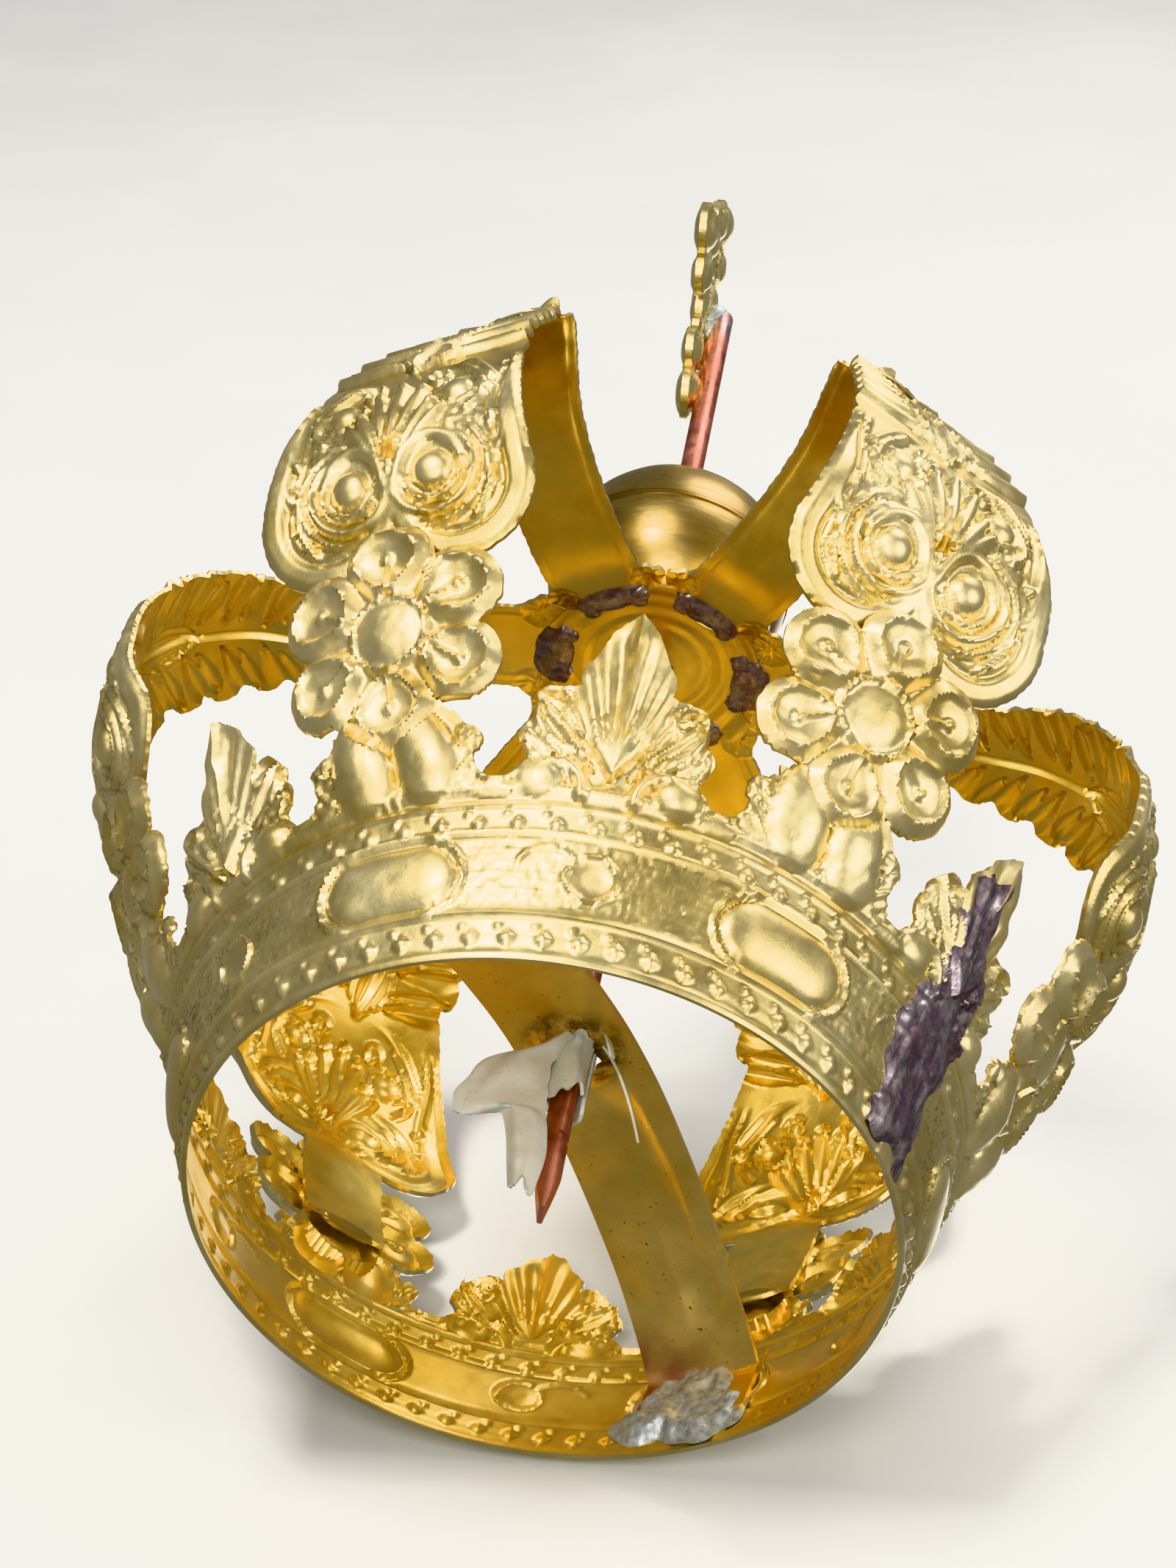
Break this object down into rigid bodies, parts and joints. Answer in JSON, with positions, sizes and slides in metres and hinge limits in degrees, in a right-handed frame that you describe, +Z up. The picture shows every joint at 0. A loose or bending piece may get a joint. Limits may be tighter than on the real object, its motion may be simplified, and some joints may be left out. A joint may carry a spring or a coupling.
{
  "type": "crown",
  "caption": "Closed statue crown in stamped gilt brass: pierced flower crest, heart-shaped arches, orb and a cross on a turning copper rod.",
  "frame": {"origin": "centre of the circlet's rim plane, where the crown stands", "axes": "+Z up along the copper rod, -Y towards the front palmette, +X to the viewer's right"},
  "size_m": [0.1326, 0.132, 0.2022],
  "materials": {
    "gilt_sheet": "bright stamped and lacquered",
    "inner_sheet": "plain bright sheet, amber lacquer",
    "orb_brass": "satin, scratched",
    "cast_gilt": "cast and gilt",
    "copper": "bare copper wire, dull",
    "solder": "dull tin solder",
    "burnt_solder": "oxidised solder and flux",
    "plastic": "translucent off-white wire insulation"
  },
  "bodies": {
    "root": {"circlet": "gilt_sheet", "seam_solder": "burnt_solder", "arch_front_right": "gilt_sheet", "arch_right": "gilt_sheet", "arch_back_right": "gilt_sheet", "arch_back_left": "gilt_sheet", "arch_left": "gilt_sheet", "arch_front_left": "gilt_sheet", "arch_foot_solder": "solder", "arch_top_solder": "burnt_solder", "centre_dish": "inner_sheet", "orb_lower_shell": "orb_brass", "orb_upper_shell": "orb_brass", "orb_solder": "solder", "crossbar_strap": "inner_sheet", "strap_solder_front": "solder", "strap_solder_back": "solder", "wire_sleeve": "plastic"},
    "finial": {"finial_rod": "copper", "finial_cross": "cast_gilt", "cross_solder": "solder"}
  },
  "joints": [
    {"name": "finial_turn", "type": "hinge", "parent": "root", "child": "finial", "pos_m": [0, 0, 0.115], "axis": [0, 0, 1], "continuous": true}
  ]
}
